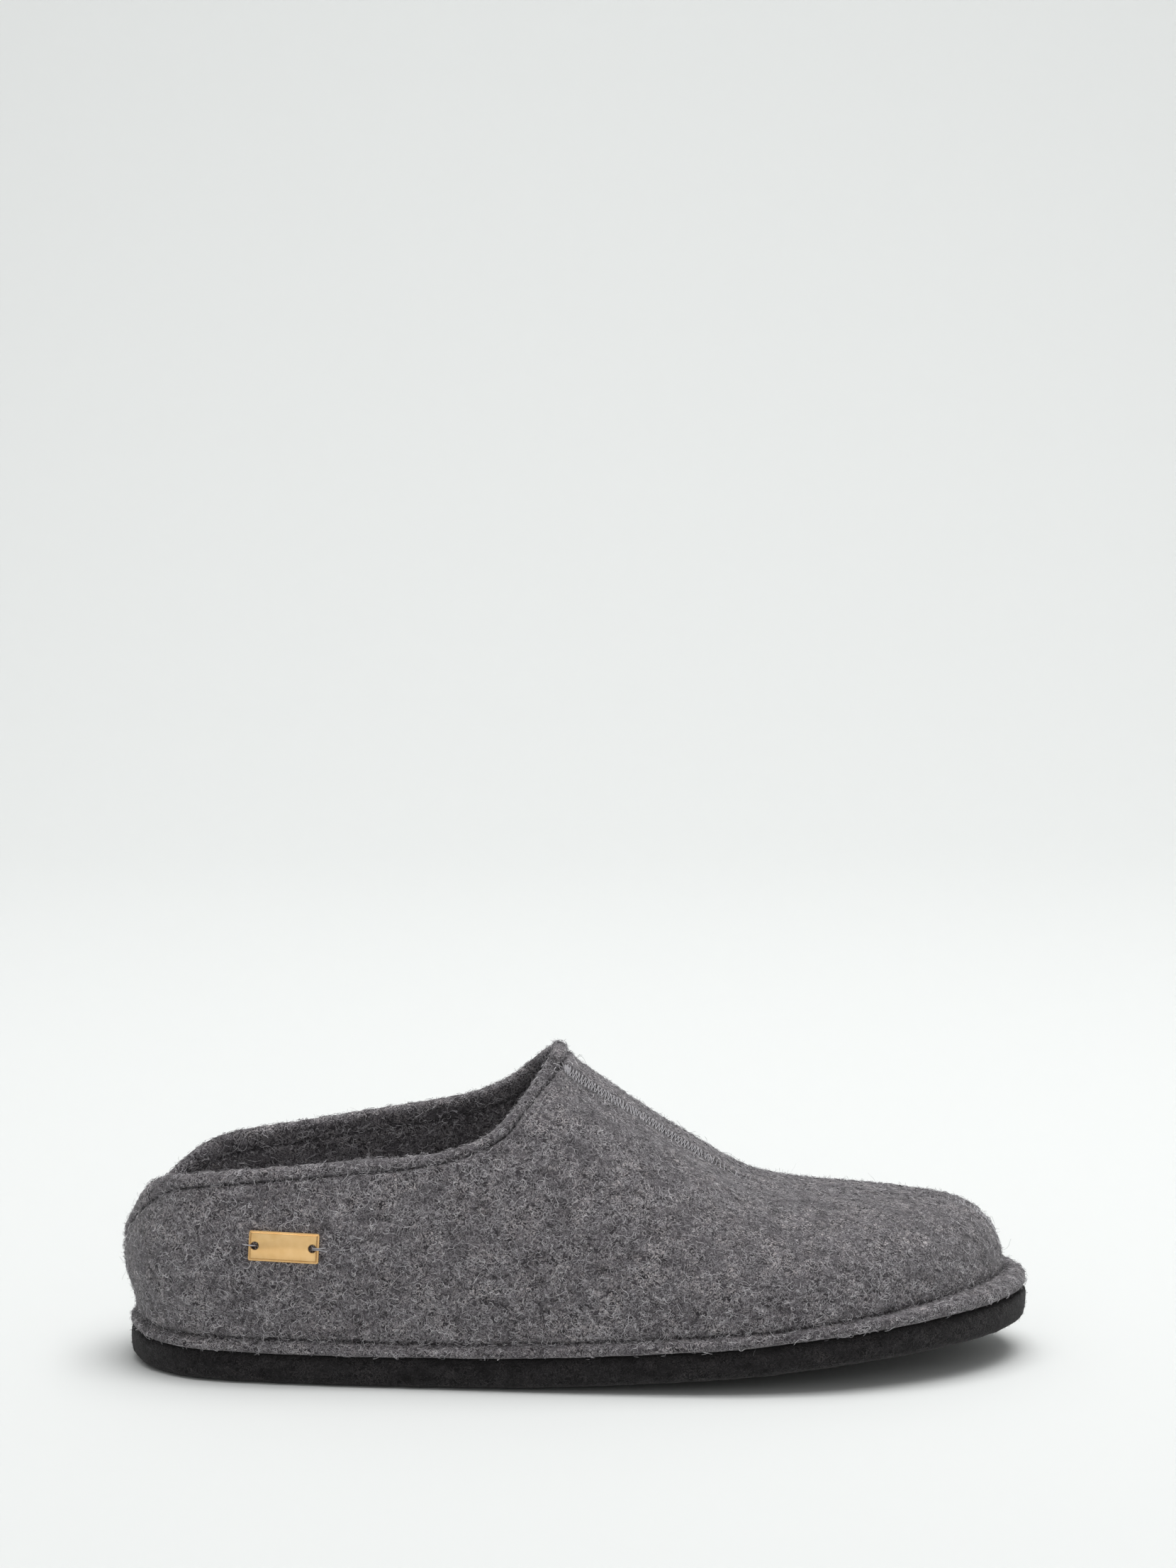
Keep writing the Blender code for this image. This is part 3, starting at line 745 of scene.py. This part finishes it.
def press_seams_and_paint_shade(co, normals_at, seams, felt, pitch):
    """How far each point of the felt rises along the seams, and how much painted shade darkens it there."""
    rise, dark = np.zeros(len(co)), np.zeros(len(co))

    # The row under the collar: a groove, with felt that swells up to the rim and a little below.
    keep, run, across, up = near_seam(seams["collar"], co, 0.0078)
    facing = (np.abs(up) < 0.0019).astype(float)
    throat = bell(seams["collar"]["spot"][:, 0].max() - co[keep, 0], 0.009)
    groove = -felt.groove * (1 + 0.7 * throat) * bell(across + 0.0001, 0.00062) * dashes(run, pitch)
    band = smoothstep(0.0002, 0.0014, across)
    swell = felt.hem * (1 + 0.3 * throat) * band * (0.80 + 0.20 * dashes(run, pitch))
    below = 0.4 * felt.hem * smoothstep(-0.0004, -0.0012, across) * smoothstep(-0.0045, -0.0015, across)
    rise[keep] += (groove + swell + below) * facing
    # Painted shade in the groove under the collar, broken at the holes between stitches.
    dark[keep] += 0.95 * bell(across, 0.00034) * dashes(run, pitch) * facing

    # The same row where it comes out on the inside.
    keep, run, across, up = near_seam(seams["lining"], co, 0.004)
    facing = (np.abs(up) < 0.0015).astype(float)
    rise[keep] -= 0.7 * felt.groove * bell(across, 0.0007) * dashes(run, pitch) * facing
    # Painted shade in the groove of the inside row.
    dark[keep] += 0.8 * bell(across, 0.0004) * dashes(run, pitch) * facing

    # The centre seam: the felt falls away beside it, and a band of painted shade darkens it under the zigzag.
    keep, run, across, up = near_seam(seams["centre"], co, 0.016)
    facing = (np.abs(up) < 0.0022 + 0.25 * np.abs(across)) * (normals_at[keep, 2] > 0.0)
    slope = felt.seam_slope * smoothstep(0.006, -0.003, across) * smoothstep(-0.0155, -0.005, across)
    rise[keep] -= facing * slope * (1 - smoothstep(0.050, 0.090, run))
    shown = 1 - smoothstep(0.050, 0.072, run) * (1 - smoothstep(0.125, 0.14, run))
    rise[keep] += facing * (-0.00030 * bell(across, 0.0008) + 0.00025 * bell(np.abs(across) - 0.0032, 0.0008))
    # Painted shade along the zigzag's band, where the zigzag shows.
    band = 0.60 * smoothstep(0.0029, 0.0021, np.abs(across)) + 0.2 * bell(across, 0.0003)
    dark[keep] += facing * shown * band

    # The crease over the flange: the flange's edge and the foot of the wall swell on its two sides.
    keep, run, across, up = near_seam(seams["crease"], co, 0.0070)
    across = across + felt.crease_drop
    facing = (np.abs(up) < 0.0035).astype(float)
    rise[keep] += facing * (
        -felt.crease * bell(across - 0.0002, 0.00065)
        + felt.roll * smoothstep(-0.0005, -0.0016, across) * smoothstep(-0.0065, -0.0030, across)
        + 0.00030 * smoothstep(0.0006, 0.0020, across) * smoothstep(0.0062, 0.0030, across)
    )
    # Painted shade in the crease over the flange, broken between the stitches.
    dark[keep] += 0.9 * facing * bell(across - 0.0003, 0.00040) * dashes(run, 1.1 * pitch)
    return rise, np.clip(dark, 0, 1)


class SLIPPER_OT_upper(bpy.types.Operator):
    """Makes the grey felt upper, with the grooves that its seams pull into it and painted shade along them"""

    bl_idname = "slipper.upper"
    bl_label = "Felt upper"

    def execute(self, context):
        felt = settings("felt")
        pitch = settings("thread").collar_pitch
        mesh = felt_mesh("upper", "felt_upper", 2, 1.28 * felt.voxel)
        base = Surface(mesh)
        collar = seam_on(base, COLLAR_STITCH, closed=True)
        inside = (collar["spot"] - collar["normal"] * LINING_DEPTH)[::8] / MM
        crease = crease_line(base)
        seams = {
            "collar": collar,
            "lining": seam_on(base, inside, closed=True),
            "centre": seam_on(base, CENTRE_SEAM),
            "crease": seam_on(base, crease, closed=True),
        }
        refined(mesh, seams.values(), 0.0017)
        refined(mesh, (seams["collar"], seams["centre"]), 0.0009)
        co, out = coordinates(mesh), normals(mesh)
        rise = felt.lump * sum(height * lumps(co, size, seed) for height, size, seed in GREY_LUMPS)
        # The seam function gives the rise of the grooves and the painted shade along the seams.
        seam_press_and_painted_shade, dark = press_seams_and_paint_shade(co, out, seams, felt, pitch)
        co = co + out * (rise + seam_press_and_painted_shade)[:, None]
        mesh.vertices.foreach_set("co", co.ravel())
        # The painted shade along the seams is stored on the mesh, and the felt's shader darkens by it.
        shade = mesh.attributes.new("seam_press_and_painted_shade", "FLOAT", "POINT")
        shade.data.foreach_set("value", dark.astype(np.float32))
        mesh.update()
        mesh.shade_smooth()
        tones = tuple(felt.grey_dark), tuple(felt.grey_mid), tuple(felt.grey_light)
        material = felt_material("grey_wool_felt_pressed", *tones, 1.0, 0.25)
        piece = new_piece("felt_upper", mesh, material)
        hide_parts("upper")
        Upper.surface = Surface(mesh)
        Upper.collar = seam_on(Upper.surface, COLLAR_STITCH, closed=True)
        Upper.lining = seam_on(Upper.surface, inside, closed=True)
        Upper.centre = seam_on(Upper.surface, CENTRE_SEAM)
        Upper.crease = seam_on(Upper.surface, crease, closed=True)
        return {"FINISHED"}


class Soles:
    """The outsole's finished surface, and where its wool stands off."""

    surface = None

    @staticmethod
    def edge(no):
        return (np.abs(no[:, 2]) < 0.75) * 1.0


class SLIPPER_OT_soles(bpy.types.Operator):
    """Makes the black felt outsole and the felt footbed"""

    bl_idname = "slipper.soles"
    bl_label = "Outsole and footbed"

    def execute(self, context):
        felt = settings("felt")
        mesh = felt_mesh("outsole", "felt_outsole", 2, 1.2 * felt.voxel)
        co, out = coordinates(mesh), normals(mesh)
        rise = sum(height * lumps(co, size, seed) for height, size, seed in BLACK_LUMPS)
        mesh.vertices.foreach_set("co", (co + out * rise[:, None]).ravel())
        mesh.update()
        mesh.shade_smooth()
        black = felt_material(
            "black_wool_felt_pressed",
            tuple(felt.sole_dark),
            tuple(0.8 * a + 0.2 * b for a, b in zip(felt.sole_dark, felt.sole_light)),
            tuple(felt.sole_light),
            0.7,
            0.12,
        )
        piece = new_piece("felt_outsole", mesh, black)
        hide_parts("outsole")
        Soles.surface = Surface(mesh)
        mesh = felt_mesh("footbed", "felt_footbed", 1, 1.8 * felt.voxel)
        mesh.shade_smooth()
        tones = tuple(felt.grey_dark), tuple(felt.grey_mid), tuple(felt.grey_light)
        grey = felt_material("footbed_felt_pressed", *tones, 0.5, 0.2)
        piece = new_piece("felt_footbed", mesh, grey)
        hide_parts("footbed")
        return {"FINISHED"}


def zigzag(surface, seam, thread, rng):
    """The slanting threads of the centre seam. They sink under the wool half way along it."""
    paths, heights = [], []
    half = thread.zigzag_width / 2
    t = np.linspace(0, 1, 9)
    for k in range(int((seam["run"][-1] - 0.001) / thread.zigzag_pitch)):
        way = 1 if k % 2 else -1
        start = k * thread.zigzag_pitch
        sunk = smoothstep(0.046, 0.060, start) * (1 - smoothstep(0.128, 0.140, start))
        if rng.random() < 0.85 * sunk:
            continue
        run = np.clip(start + (t + 0.12 * rng.normal()) * thread.zigzag_pitch, 0, None)
        wide = half * (1 + 0.10 * rng.normal())
        paths.append(at_run(seam, run, way * wide * (2 * t - 1)))
        heights.append((1.0 - 0.9 * sunk) * thread.radius - 0.0007 * np.abs(2 * t - 1) ** 10)
    return laid(surface, paths, heights)


class SLIPPER_OT_sewing(bpy.types.Operator):
    """Sews the row under the collar, the zigzag centre seam, its bar tack and the row over the flange"""

    bl_idname = "slipper.sewing"
    bl_label = "Sewing"

    def execute(self, context):
        thread = settings("thread")
        rng = np.random.default_rng(3)
        radius, pitch = thread.radius, thread.collar_pitch
        grey = thread_material("sewing_thread_grey", tuple(thread.grey))
        # The dark thread of the collar rows carries painted shade of their grooves as well as the thread's
        # own tone.
        shaded = thread_material("sewing_thread_dark", tuple(thread.dark))
        pale = thread_material("sewing_thread_pale", tuple(thread.pale))
        for name, seam in (("collar_stitch", Upper.collar), ("collar_stitch_inside", Upper.lining)):
            row = stitches(seam, 0.0, seam["run"][-1], pitch, 0.0008, 0.5 * radius, 0.0006)
            new_piece(name, tubes(name, row, 0.8 * radius), shaded)
        slanting = zigzag(Upper.surface, Upper.centre, thread, rng)
        new_piece("centre_seam", tubes("centre_seam", slanting, 0.7 * radius), grey)
        row = stitches(
            Upper.crease, 0.0, Upper.crease["run"][-1], 1.1 * pitch, 0.0016, 0.6 * radius, 0.0005, 7, -0.0015
        )
        new_piece("flange_stitch", tubes("flange_stitch", row, 0.75 * radius), pale)
        t = np.linspace(0, 1, 6)
        bars = [at_run(Upper.centre, 0.0004 + 0.00034 * k, 0.0015 * (2 * t - 1)) for k in range(7)]
        bars = laid(Upper.surface, bars, [radius - 0.0006 * np.abs(2 * t - 1) ** 8] * len(bars))
        new_piece("bar_tack", tubes("bar_tack", bars, 0.8 * radius), grey)
        return {"FINISHED"}


class SLIPPER_OT_plate(bpy.types.Operator):
    """Finishes the bare brass plate and ties it down with its threads"""

    bl_idname = "slipper.plate"
    bl_label = "Name plate"

    def execute(self, context):
        thread = settings("thread")
        bm = bmesh.new()
        bm.from_mesh(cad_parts["name_plate"].data)
        bmesh.ops.remove_doubles(bm, verts=bm.verts, dist=MERGE)
        bmesh.ops.dissolve_limit(
            bm, angle_limit=math.radians(2), use_dissolve_boundaries=False, verts=bm.verts, edges=bm.edges
        )
        sharp = [e for e in bm.edges if len(e.link_faces) == 2 and e.calc_face_angle() > math.radians(40)]
        bmesh.ops.bevel(
            bm,
            geom=sharp,
            offset=PLATE_ROUNDING,
            segments=3,
            profile=0.5,
            affect="EDGES",
            material=-1,
            clamp_overlap=True,
        )
        mesh = bpy.data.meshes.new("brass_plate")
        bm.to_mesh(mesh)
        bm.free()
        mesh.shade_smooth()
        piece = new_piece("brass_plate", mesh, brass_material())
        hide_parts("name_plate")

        co = coordinates(mesh)
        middle = co.mean(0)
        _, _, axes = np.linalg.svd(co - middle)
        along, down, out = axes
        along = along * np.sign(along[0])
        out = out * -np.sign(out[1])
        half = np.abs((co - middle) @ along).max()
        face = ((co - middle) @ out).max()
        rng = np.random.default_rng(11)
        paths = []
        for end in (-1, 1):
            for strand in (-0.00020, 0.00014):
                far = middle + along * end * (half + 0.0019 + 0.0006 * rng.random())
                hole = middle + along * end * (half - 0.0021)
                spot, normal = Upper.surface.drop([far])
                lean = down * (strand + 0.00015 * rng.normal())
                paths.append(
                    [
                        hole - out * 0.0004 + lean,
                        hole + along * end * 0.0006 + out * (face + 0.00010) + lean,
                        middle + along * end * (half - 0.0004) + out * (face + 0.00022) + lean,
                        middle + along * end * (half + 0.0004) + out * (face - 0.00010) + lean,
                        spot[0] + normal[0] * 0.0004 - along * end * 0.0006 + 2 * lean,
                        spot[0] - normal[0] * 0.0003 + 3 * lean,
                    ]
                )
        lines = [smooth_line(np.array(path) / MM, 0.0002) for path in paths]
        tied = tubes("plate_threads", lines, PLATE_THREAD_RADIUS)
        new_piece("plate_threads", tied, thread_material("plate_thread", tuple(thread.grey)))
        return {"FINISHED"}


def fibres(surface, rng, count, segments, size, lift, curl, keep):
    """Curling fibres that start on a surface, wander over it and end near it."""
    weight = surface.share * keep(surface.no)
    choice = rng.choice(len(surface.co), count, p=weight / weight.sum())
    start, normal = surface.co[choice], surface.no[choice]
    guide = rng.normal(size=(count, 3))
    way = guide - (guide * normal).sum(1)[:, None] * normal
    way /= np.linalg.norm(way, axis=1)[:, None]
    side = np.cross(normal, way)
    start = start + 0.0006 * (way * rng.normal(size=(count, 1)) + side * rng.normal(size=(count, 1)))
    lengths = size * rng.uniform(0.45, 1.4, count)
    turn = curl * rng.normal(0, 1, count)
    sway = rng.normal(0, 1.0, count)
    phase = rng.uniform(0, 6.28, count)
    height = lift * rng.uniform(0.1, 1.0, count) ** 2
    paths = np.empty((count, segments + 1, 3))
    spot = start.copy()
    for s in range(segments + 1):
        t = s / segments
        bow = math.sin(math.pi * min(t * 1.1, 1.0))
        paths[:, s] = spot + normal * (height * bow + 0.00003)[:, None]
        angle = turn * t + sway * np.sin(phase + 5 * t)
        step = way * np.cos(angle)[:, None] + side * np.sin(angle)[:, None]
        spot = spot + step * (lengths / segments)[:, None]
    return paths


def settled(surface, paths, most):
    """Keeps lying fibres close over a curved surface."""
    flat = paths.reshape(-1, 3)
    spot, normal = surface.drop(flat)
    over = np.clip(((flat - spot) * normal).sum(1), 0.00004, most)
    return (spot + normal * over[:, None]).reshape(paths.shape)


def standing(surface, rng, count, segments, size, keep):
    """Fibres that grow out of a surface, lean over and curl."""
    weight = surface.share * keep(surface.no)
    choice = rng.choice(len(surface.co), count, p=weight / weight.sum())
    spot, way = surface.co[choice].copy(), surface.no[choice].copy()
    lengths = size * rng.uniform(0.3, 1.0, count) ** 1.5
    way = way + 0.55 * rng.normal(size=(count, 3))
    way /= np.linalg.norm(way, axis=1)[:, None]
    bend = rng.normal(size=(count, 3)) * 0.55
    spot = spot - 0.0002 * surface.no[choice]
    paths = np.empty((count, segments + 1, 3))
    for s in range(segments + 1):
        paths[:, s] = spot
        spot = spot + way * (lengths / segments)[:, None]
        way = way + bend + 0.25 * rng.normal(size=(count, 3))
        way /= np.linalg.norm(way, axis=1)[:, None]
    return paths


def fibre_material(name, first, second):
    """Single wool fibres: thin, a little shiny, and of mixed tones."""
    material, tree = new_material(name)
    where = add(tree, "ShaderNodeTexCoord").outputs["Object"]
    tones = grain(tree, where, 700.0, 1.0)
    base = mix(tree, span(tree, tones, 0.35, 0.65), from_hex(first), from_hex(second))
    shader = add(tree, "ShaderNodeBsdfPrincipled", {"Base Color": base}, Roughness=0.75, Sheen_Weight=0.2)
    finish_material(tree, shader)
    return material


class SLIPPER_OT_wool(bpy.types.Operator):
    """Lays loose wool fibres on the felt and lets its nap stand off the edges"""

    bl_idname = "slipper.wool"
    bl_label = "Loose wool"

    def execute(self, context):
        wool = settings("wool")
        rng = np.random.default_rng(wool.seed)
        upper = Upper.surface
        share = 1.0

        def outside(no):
            return (no[:, 2] > -0.6) * 1.0

        def edges(no):
            return (no[:, 2] > -0.6) * np.where(np.abs(no[:, 1]) < 0.45, 2.6, 1.0)

        rows = (
            ("pale_wool", wool.pale_count, 6, 0.0034, 0.0006, 4.0, 1.05, ("#9c999d", "#e2dfe2")),
            ("mixed_wool", wool.mixed_count, 6, 0.0026, 0.0005, 4.5, 0.9, ("#757175", "#b9b5b9")),
            ("dark_wool", wool.dark_count, 5, 0.0022, 0.0003, 4.0, 1.1, ("#1f1d20", "#3a373b")),
        )
        for name, count, segments, size, lift, curl, thick, tones in rows:
            paths = fibres(upper, rng, int(count * share), segments, size, lift, curl, outside)
            paths = settled(upper, paths, lift)
            new_piece(name, ribbons(name, paths, thick * wool.width), fibre_material(name + "_fibre", *tones))
        nap = list(standing(upper, rng, int(wool.nap_count * share), 4, 0.0019, edges))
        nap += list(standing(upper, rng, int(wool.stray_count * share), 8, 0.0062, edges))
        fuzz = list(standing(Soles.surface, rng, int(wool.sole_count * share), 4, 0.0011, Soles.edge))
        rows = (("nap_wool", nap, ("#7c797d", "#b5b3b6")), ("sole_wool", fuzz, ("#0e0d0e", "#4a4849")))
        for name, paths, tones in rows:
            mesh = ribbons(name, paths, 0.6 * wool.width)
            new_piece(name, mesh, fibre_material(name + "_fibre", *tones))
        return {"FINISHED"}


class SLIPPER_OT_stage(bpy.types.Operator):
    """Sets the floor with its curved wall, the lamps and the camera"""

    bl_idname = "slipper.stage"
    bl_label = "Studio"

    def execute(self, context):
        stage = settings("stage")
        scene = context.scene
        bm = bmesh.new()
        first = bm.verts.new((-PAPER_HALF_WIDTH, PAPER_FRONT, 0.0))
        last = bm.verts.new((PAPER_HALF_WIDTH, PAPER_FRONT, 0.0))
        edge = bm.edges.new((first, last))
        profile = [(PAPER_BEND, 0.0)]
        for turn in np.linspace(0.1, math.pi / 2, 12):
            away, up = PAPER_RADIUS * math.sin(turn), PAPER_RADIUS - PAPER_RADIUS * math.cos(turn)
            profile.append((PAPER_BEND + away, up))
        profile.append((PAPER_BEND + PAPER_RADIUS, PAPER_TOP))
        edges, at = [edge], Vector((0.0, PAPER_FRONT, 0.0))
        for y, z in profile:
            made = bmesh.ops.extrude_edge_only(bm, edges=edges)["geom"]
            verts = [g for g in made if isinstance(g, bmesh.types.BMVert)]
            edges = [g for g in made if isinstance(g, bmesh.types.BMEdge)]
            bmesh.ops.translate(bm, vec=Vector((0.0, y, z)) - at, verts=verts)
            at = Vector((0.0, y, z))
        bmesh.ops.recalc_face_normals(bm, faces=bm.faces)
        mesh = bpy.data.meshes.new("floor")
        bm.to_mesh(mesh)
        bm.free()
        mesh.shade_smooth()
        mesh.materials.append(paper_material())
        floor = bpy.data.objects.new("floor", mesh)
        scene.collection.objects.link(floor)

        world = bpy.data.worlds.new("room")
        scene.world = world
        world.use_nodes = True
        tree = world.node_tree
        where = add(tree, "ShaderNodeTexCoord").outputs["Generated"]
        height = add(tree, "ShaderNodeSeparateXYZ", {"Vector": where}).outputs["Z"]
        level = span(tree, height, 0.0, 0.75, 0.45, 1.0)
        sky = tree.nodes["Background"]
        sky.inputs["Color"].default_value = (1.0, 1.0, 1.0, 1.0)
        tree.links.new(product(tree, level, stage.sky), sky.inputs["Strength"])

        lamps = (
            ("softbox", (0.25, 0.05, 1.6), (0.0, 0.0, 0.0), (1.5, 1.1), stage.key_power),
            ("backdrop_light", (0.0, 0.2, 2.6), (0.0, 1.7, 0.9), (2.4, 0.6), stage.back_power),
            ("front_light", (-0.3, -2.6, 0.95), (0.0, 0.0, 0.05), (2.2, 1.5), stage.front_power),
        )
        for name, place, target, size, power in lamps:
            lamp = bpy.data.lights.new(name, "AREA")
            lamp.shape = "RECTANGLE"
            lamp.size, lamp.size_y = size
            lamp.energy = power
            box = bpy.data.objects.new(name, lamp)
            box.location = place
            box.rotation_euler = (Vector(target) - box.location).to_track_quat("-Z", "Y").to_euler()
            scene.collection.objects.link(box)

        camera = bpy.data.cameras.new("camera")
        camera.sensor_fit = "VERTICAL"
        camera.sensor_height = 36.0
        camera.sensor_width = 36.0
        camera.lens = stage.lens
        camera.clip_start, camera.clip_end = 0.05, 20.0
        tilt = math.radians(CAMERA_TILT)
        up = Vector((0.0, math.sin(tilt), math.cos(tilt)))
        ahead = Vector((0.0, math.cos(tilt), -math.sin(tilt)))
        eye = bpy.data.objects.new("camera", camera)
        eye.matrix_world = Matrix((Vector((1.0, 0.0, 0.0)), up, -ahead)).transposed().to_4x4()
        eye.location = Vector((CAMERA_ASIDE, 0.0, 0.0)) + CAMERA_UP * up - CAMERA_BACK * ahead
        scene.collection.objects.link(eye)
        scene.camera = eye
        scene.view_settings.view_transform = "Standard"
        scene.view_settings.look = "None"
        return {"FINISHED"}


class SLIPPER_PT_panel(bpy.types.Panel):
    """Sizes, colours and steps of the slipper"""

    bl_idname = "SLIPPER_PT_panel"
    bl_label = "Felt slipper"
    bl_space_type = "VIEW_3D"
    bl_region_type = "UI"
    bl_category = "Slipper"

    def draw(self, context):
        for group, step in STEPS_OF_GROUPS:
            box = self.layout.box()
            values = settings(group)
            for name in values.__annotations__:
                box.prop(values, name)
            for operator in step:
                box.operator(operator)


STEPS_OF_GROUPS = (
    ("felt", ("slipper.upper", "slipper.soles")),
    ("thread", ("slipper.sewing", "slipper.plate")),
    ("wool", ("slipper.wool",)),
    ("stage", ("slipper.stage",)),
)
GROUPS = {"felt": FeltSettings, "thread": ThreadSettings, "wool": WoolSettings, "stage": StageSettings}
OPERATORS = (
    SLIPPER_OT_upper,
    SLIPPER_OT_soles,
    SLIPPER_OT_sewing,
    SLIPPER_OT_plate,
    SLIPPER_OT_wool,
    SLIPPER_OT_stage,
)


def register():
    for name, group in GROUPS.items():
        bpy.utils.register_class(group)
        setattr(bpy.types.Scene, "slipper_" + name, PointerProperty(type=group))
    for operator in OPERATORS:
        bpy.utils.register_class(operator)
    bpy.utils.register_class(SLIPPER_PT_panel)


def unregister():
    bpy.utils.unregister_class(SLIPPER_PT_panel)
    for operator in reversed(OPERATORS):
        bpy.utils.unregister_class(operator)
    for name, group in reversed(GROUPS.items()):
        delattr(bpy.types.Scene, "slipper_" + name)
        bpy.utils.unregister_class(group)


def main():
    register()
    bpy.ops.slipper.stage()
    bpy.ops.slipper.upper()
    bpy.ops.slipper.soles()
    bpy.ops.slipper.sewing()
    bpy.ops.slipper.plate()
    bpy.ops.slipper.wool()


if __name__ == "__main__":
    main()
